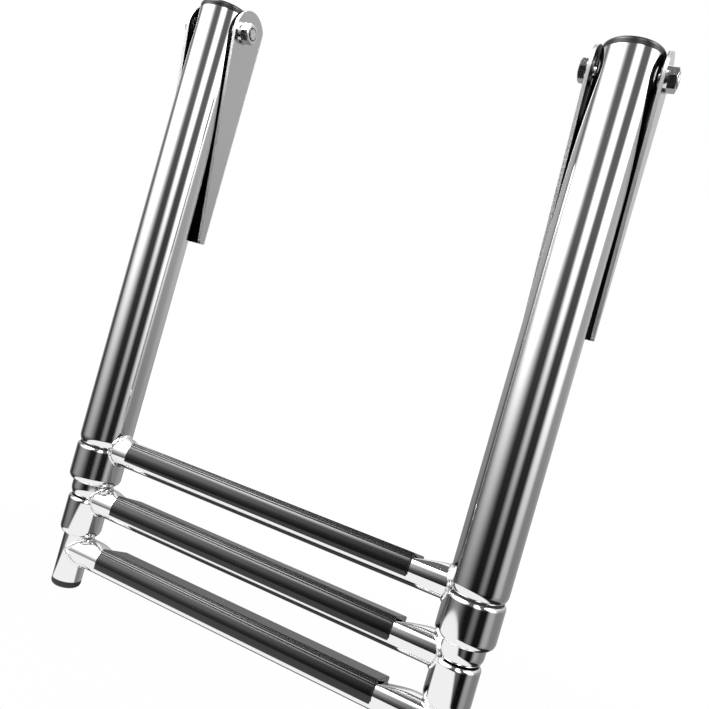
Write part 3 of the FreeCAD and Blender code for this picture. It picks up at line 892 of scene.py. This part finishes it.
class LADDER_OT_pivots(bpy.types.Operator):
    """Finish of the brackets, hex bolts and locknuts with their black rings"""
    bl_idname = "boat_ladder.pivots"
    bl_label = "Brackets and pivots"

    def execute(self, context):
        for side in SIDES:
            for prefix, kind in CAD_FINISHES.items():
                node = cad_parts[prefix + side]
                node.data.materials.clear()
                node.data.materials.append(material(kind))
            lo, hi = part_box("pivot_nut_" + side)
            y, z = (lo.y + hi.y) / 2, (lo.z + hi.z) / 2
            turn = QUARTER if hi.z - lo.z > hi.y - lo.y else 0.0
            end = lo.x + settings().pivots.nut
            self.bolt(side, y, z, turn, end)
            self.nut(side, lo.x, y, z, turn, end)
            self.ring(side, y, z, end)
        return {"FINISHED"}

    def bolt(self, side, y, z, turn, end):
        """Hex head whose outer end is chamfered, then the round shank up to its end behind the nut."""
        s = settings().pivots
        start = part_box("pivot_bolt_" + side)[0].x
        depth = np.linspace(0, CHAMFER_DEPTH, 8)
        head = hex_radius(depth, turn)
        full = hex_radius(np.full(2, s.head), turn)
        inner, tip = start + s.head, end + s.proud
        edge = tip - BOLT_END_CHAMFER
        shank = np.array([s.thread, s.thread, s.thread, s.thread, s.thread - BOLT_END_CHAMFER])[:, None]
        x = [*(start + depth), inner - NEAR, inner, inner, inner + NEAR, edge - NEAR, edge, tip]
        radius = np.concatenate([head, full, shank + 0 * full[:1]])
        mesh = ring_mesh(f"hex_bolt_{side}", rings_along_x(x, radius, y, z, HEX_ROUND), sharp=25.0)
        piece(f"{side}_hex_bolt", mesh, "brackets", "stainless", "bolt steel", "pivot_bolt_" + side)

    def nut(self, side, start, y, z, turn, end):
        """Hexagon with a chamfered outer end round a bore that clears the bolt."""
        s = settings().pivots
        depth = np.linspace(CHAMFER_DEPTH, 0, 8)
        outer = hex_radius(np.r_[s.nut, s.nut, depth], turn)
        bore = np.full((4, 1), s.thread + 0.02 * MM) + 0 * outer[:1]
        x = [start, start + NEAR, *(end - depth), end, end - NEAR, start + NEAR, start]
        grid = rings_along_x(x, np.concatenate([outer, bore]), y, z, HEX_ROUND)
        mesh = ring_mesh(f"hex_nut_{side}", grid, closed=True, sharp=25.0)
        piece(f"{side}_hex_nut", mesh, "brackets", "stainless", "bolt steel", "pivot_nut_" + side)

    def ring(self, side, y, z, end):
        """A black ring round the bolt's end, with the nylon finish: a small rectangle with bevelled corners,
        turned about X.
        """
        front = end + RING_PROUD
        back = front - RING_DEEP
        x = [back, front - NEAR, front, front, front - NEAR, back]
        radius = np.array([RING_BORE] * 3 + [RING_RADIUS] * 3) + NEAR * np.array([0, 0, 1, -1, 0, 0])
        grid = rings_along_x(x, radius[:, None], y, z, RING_ROUND)
        mesh = ring_mesh(f"lock_ring_{side}_turned", grid, closed=True, sharp=60.0)
        piece(f"{side}_lock_ring", mesh, "brackets", "nylon", "nylon")


# Studio

LAMPS = (
    # azimuth from +Y towards +X, inner and outer half width in degrees, strength
    (-127.0, 2.0, 45.0, 1.07),
    (155.0, 0.0, 18.5, 0.75),
    (94.0, 4.0, 23.0, 0.9),
)
BACKDROP = (17.0, 84.0, 102.0)
PALE_SPOT = (3.0, 5.0, 50.0)
SPOT_LEVEL = (0.75, 1.15)
# light at a lower and a higher height on the tent's wall
HIGH_LAMPS = ((2.4, 0.0), (4.2, 13.0))
HIGH_BACK = ((1.6, 0.0), (3.0, 0.5))
BACK_LEVEL = ((-1.05, 0.28), (0.6, 0.40))
TONE = 0.04
GROWTH = 1.1
MOST_RISE = 3.0
TENT_LOW, TENT_HIGH = -3.0, 6.6
TENT_AROUND, TABLE_AROUND = 181, 97
ROOF_GLOW, GROUND_GLOW = 0.14, 0.02
TABLE_MIDDLE = (0.13, -0.15)
TABLE_SOFT = 0.03
TABLE_BACK = 0.02
TABLE_GLOW = 0.94
FLOOR_GLOW = 1.04
FLOOR_FADE = (1.2, 2.8, 0.85, 1.0)
FLOOR_REACH = 8.0
WORLD_LIGHT = (0.75, 1.0)
LAMP_SIZE = 0.9
PHOTO_LAMPS = (("key", (-0.9, -1.3, 1.0), 9.0), ("fill", (1.4, -1.2, 0.7), 5.0))


def soft_band_group():
    """Mask of a soft upright lamp: 1 within Inner degrees of where it faces, falling to 0 at Outer."""
    tree, given, gives = group("soft band", {"Vector": ["Direction", "Facing"], "Float": ["Inner", "Outer"]},
                               {"Float": ["Mask"]})
    dot = vector_math(tree, "DOT_PRODUCT", given["Direction"], given["Facing"], output="Value")
    angle = math_node(tree, "MULTIPLY", math_node(tree, "ARCCOSINE", dot), 180 / math.pi)
    mask = map_range(tree, angle, given["Inner"], given["Outer"], 1.0, 0.0, smooth=True)
    tree.links.new(mask, gives["Mask"])
    return tree


def glow_material(name):
    """A material for a glowing sheet that isn't sampled as a lamp; returns it with its tree."""
    material, tree, shader = blank_material(name)
    tree.nodes.remove(shader)
    material.cycles.emission_sampling = "NONE"
    return material, tree


def mixed(tree, share, first, second):
    """Shader that goes from the first node's to the second's as the share goes from 0 to 1."""
    return new_node(tree, "MixShader", {"Fac": share, 1: first.outputs[0], 2: second.outputs[0]}).outputs[0]


def height_ramp(tree, height, steps):
    """Light that goes from one level to another between two heights."""
    (low, dim), (high, bright) = steps
    return map_range(tree, height, low, high, dim, bright, smooth=True)


def tent_material(centre):
    """Light on the tent's wall: three soft upright lamps in a dark front, a pale back, brighter upwards."""
    material, tree = glow_material("light tent")
    place = object_place(tree)
    level = vector_math(tree, "MULTIPLY", vector_math(tree, "SUBTRACT", place, centre), (1.0, 1.0, 0.0))
    direction = vector_math(tree, "NORMALIZE", level)
    height = split_xyz(tree, place)["Z"]

    def mask(azimuth, inner, outer):
        a = math.radians(azimuth)
        inputs = {"Direction": direction, "Facing": (math.sin(a), math.cos(a), 0.0), "Inner": inner,
                  "Outer": outer}
        return group_node(tree, "soft band", soft_band_group, inputs).outputs["Mask"]

    lamps = 0.0
    for *band, strength in LAMPS:
        lamps = math_node(tree, "ADD", math_node(tree, "MULTIPLY", mask(*band), strength), lamps)
    rise = math_node(tree, "EXPONENT", math_node(tree, "MULTIPLY", height, GROWTH))
    rise = math_node(tree, "MINIMUM", rise, MOST_RISE)
    lamp_rise = math_node(tree, "ADD", rise, height_ramp(tree, height, HIGH_LAMPS))
    front = math_node(tree, "ADD", math_node(tree, "MULTIPLY", lamps, lamp_rise),
                      math_node(tree, "MULTIPLY", rise, TONE))
    spot = map_range(tree, mask(*PALE_SPOT), 0.0, 1.0, *SPOT_LEVEL)
    pale = math_node(tree, "MULTIPLY", height_ramp(tree, height, BACK_LEVEL), spot)
    pale = math_node(tree, "ADD", pale, height_ramp(tree, height, HIGH_BACK))
    back = math_node(tree, "MULTIPLY", mask(*BACKDROP), pale)
    glow = new_node(tree, "Emission", {"Color": math_node(tree, "ADD", front, back)})
    show(tree, glow.outputs[0])
    return material


def plain_glow(name, strength):
    """An even glow."""
    material, tree = glow_material(name)
    show(tree, new_node(tree, "Emission", {"Strength": strength}).outputs[0])
    return material


def table_material(radius):
    """Bright table that fades out at its rim and its back line, so that the dark tent shows past it."""
    material, tree = glow_material("bright table")
    place = object_place(tree)
    away = vector_math(tree, "DISTANCE", place, (*TABLE_MIDDLE, 0.0), output="Value")
    rim = map_range(tree, away, radius - TABLE_SOFT, radius, 1.0, 0.0, smooth=True)
    front = map_range(tree, split_xyz(tree, place)["Y"], TABLE_BACK - TABLE_SOFT, TABLE_BACK, 1.0, 0.0,
                      smooth=True)
    glow = new_node(tree, "Emission", {"Strength": TABLE_GLOW})
    clear = new_node(tree, "BsdfTransparent")
    show(tree, mixed(tree, math_node(tree, "MULTIPLY", rim, front), clear, glow))
    return material


def stage_mesh(name, grid, material):
    """An open sheet from a grid of points, part of the studio."""
    faces = grid_faces(*grid.shape[:2], False, False)
    obj = new_object(name, smooth_mesh(name, grid.reshape(-1, 3), faces.tolist()))
    obj.data.materials.append(material)
    return obj


def disc(x, y, radius, z, around):
    """Flat disc at the height z: x + r cos(a) and y + r sin(a), with r from 0 to the radius."""
    a = np.linspace(0, 2 * np.pi, around)[None, :]
    r = np.linspace(0.0, radius, 3)[:, None]
    return np.stack([x + r * np.cos(a), y + r * np.sin(a), 0 * r * a + z], -1)


def reflected_mesh(name, grid, material):
    """A sheet of the studio that shows in reflections alone."""
    obj = stage_mesh(name, grid, material)
    obj.visible_camera = False
    obj.visible_diffuse = False
    obj.visible_shadow = False
    obj.visible_transmission = False
    obj.visible_volume_scatter = False
    return obj


class LADDER_OT_studio(bpy.types.Operator):
    """Pale floor, light tent, lamps, world and camera"""
    bl_idname = "boat_ladder.studio"
    bl_label = "Studio"

    def execute(self, context):
        self.camera()
        self.floor(CAD_BOX[0].z - settings().studio.floor_drop)
        self.tent()
        self.table()
        self.world()
        self.lamps()
        return {"FINISHED"}

    def camera(self):
        s = settings().studio
        data = bpy.data.cameras.new("camera")
        data.sensor_width = SENSOR
        data.lens = s.focal / PICTURE * SENSOR
        data.shift_x = (PICTURE / 2 - s.middle[0]) / PICTURE
        data.shift_y = (s.middle[1] - PICTURE / 2) / PICTURE
        data.clip_start = 0.01
        camera = new_object("camera", data)
        turn = (Matrix.Rotation(s.yaw, 4, "Z") @ Matrix.Rotation(math.pi / 2 + s.pitch, 4, "X")
                @ Matrix.Rotation(-s.roll, 4, "Z"))
        camera.matrix_world = Matrix.Translation(Vector(s.eye)) @ turn
        bpy.context.scene.camera = camera

    def floor(self, z):
        """Pale ground that shows white, a little less so near the ladder, where its shadow is kept."""
        material, tree, shader = blank_material("pale floor")
        shader.inputs["Base Color"].default_value = (0.85, 0.85, 0.85, 1.0)
        shader.inputs["Roughness"].default_value = 0.8
        away = vector_math(tree, "LENGTH", object_place(tree), output="Value")
        share = map_range(tree, away, *FLOOR_FADE, smooth=True)
        seen = math_node(tree, "MULTIPLY", new_node(tree, "LightPath").outputs["Is Camera Ray"], share)
        show(tree, mixed(tree, seen, shader, new_node(tree, "Emission", {"Strength": FLOOR_GLOW})))
        x, y = np.meshgrid([-FLOOR_REACH, FLOOR_REACH], [-FLOOR_REACH, FLOOR_REACH])
        sheet = stage_mesh("floor", np.stack([x, y, 0 * x + z], -1), material)
        sheet.visible_glossy = False

    def tent(self):
        """An upright cylinder of light about the right stile, with a dim roof and ground."""
        radius = settings().studio.tent
        x, y = upright_sizes("outer_tube_right")[:2]
        a = np.linspace(0, 2 * np.pi, TENT_AROUND)[None, :]
        z = np.linspace(TENT_LOW, TENT_HIGH, 3)[:, None]
        wall = np.stack([x + radius * np.cos(a) + 0 * z, y + radius * np.sin(a) + 0 * z, z + 0 * a], -1)
        reflected_mesh("light_tent", wall, tent_material((x, y, 0.0)))
        for name, height, strength in (("roof", TENT_HIGH, ROOF_GLOW), ("ground", TENT_LOW, GROUND_GLOW)):
            grid = disc(x, y, radius, height, TENT_AROUND)
            reflected_mesh("tent_" + name, grid, plain_glow("tent " + name, strength))

    def table(self):
        """A flat disc under the ladder. The sheet is moved down whole, so its material reads the height 0."""
        s = settings().studio
        grid = disc(*TABLE_MIDDLE, s.table, 0.0, TABLE_AROUND)
        sheet = reflected_mesh("bright_table", grid, table_material(s.table))
        sheet.location.z = CAD_BOX[0].z - s.table_drop

    def world(self):
        world = bpy.data.worlds.new("studio")
        bpy.context.scene.world = world
        world.use_nodes = True
        tree = world.node_tree
        background = next(n for n in tree.nodes if n.type == "BACKGROUND")
        background.inputs["Color"].default_value = (1.0, 1.0, 1.0, 1.0)
        rays = new_node(tree, "LightPath").outputs
        seen = math_node(tree, "MAXIMUM", rays["Is Camera Ray"], rays["Is Glossy Ray"])
        seen = math_node(tree, "MAXIMUM", seen, rays["Is Transmission Ray"])
        tree.links.new(map_range(tree, seen, 0.0, 1.0, *WORLD_LIGHT), background.inputs["Strength"])
        bpy.context.scene.view_settings.view_transform = "Standard"

    def lamps(self):
        target = (CAD_BOX[0] + CAD_BOX[1]) / 2
        for name, place, power in PHOTO_LAMPS:
            data = bpy.data.lights.new(name, "AREA")
            data.size = LAMP_SIZE
            data.energy = power
            lamp = new_object(name, data)
            aim = (target - Vector(place)).to_track_quat("-Z", "Y").to_matrix().to_4x4()
            lamp.matrix_world = Matrix.Translation(Vector(place)) @ aim
            lamp.visible_glossy = False


class LadderSettings(bpy.types.PropertyGroup):
    tubes: PointerProperty(name="Tubes", description="Sizes of the stile tubes", type=TubeSizes)
    ends: PointerProperty(name="Ends", description="Sizes of caps and feet", type=EndSizes)
    rungs: PointerProperty(name="Rungs", description="Sizes of rungs and welds", type=RungSizes)
    treads: PointerProperty(name="Treads", description="Sizes of the treads", type=TreadSizes)
    pivots: PointerProperty(name="Pivots", description="Sizes of the pivot bolts and nuts", type=PivotSizes)
    finish: PointerProperty(name="Finish", description="Colours", type=FinishColours)
    studio: PointerProperty(name="Studio", description="Camera and light tent", type=StudioSettings)


OPERATORS = (LADDER_OT_stiles, LADDER_OT_ends, LADDER_OT_rungs, LADDER_OT_welds, LADDER_OT_treads,
             LADDER_OT_pivots, LADDER_OT_studio)


class LADDER_PT_panel(bpy.types.Panel):
    bl_idname = "LADDER_PT_panel"
    bl_label = "Boat ladder"
    bl_space_type = "VIEW_3D"
    bl_region_type = "UI"
    bl_category = "Ladder"

    def draw(self, context):
        for operator in OPERATORS:
            self.layout.operator(operator.bl_idname)


CLASSES = (TubeSizes, EndSizes, RungSizes, TreadSizes, PivotSizes, FinishColours, StudioSettings,
           LadderSettings, *OPERATORS, LADDER_PT_panel)


def register():
    for cls in CLASSES:
        bpy.utils.register_class(cls)
    bpy.types.Scene.boat_ladder = PointerProperty(type=LadderSettings)


def unregister():
    del bpy.types.Scene.boat_ladder
    for cls in reversed(CLASSES):
        bpy.utils.unregister_class(cls)


def main():
    register()
    bpy.ops.boat_ladder.stiles()
    bpy.ops.boat_ladder.ends()
    bpy.ops.boat_ladder.rungs()
    bpy.ops.boat_ladder.welds()
    bpy.ops.boat_ladder.treads()
    bpy.ops.boat_ladder.pivots()
    bpy.ops.boat_ladder.studio()


if __name__ == "__main__":
    main()
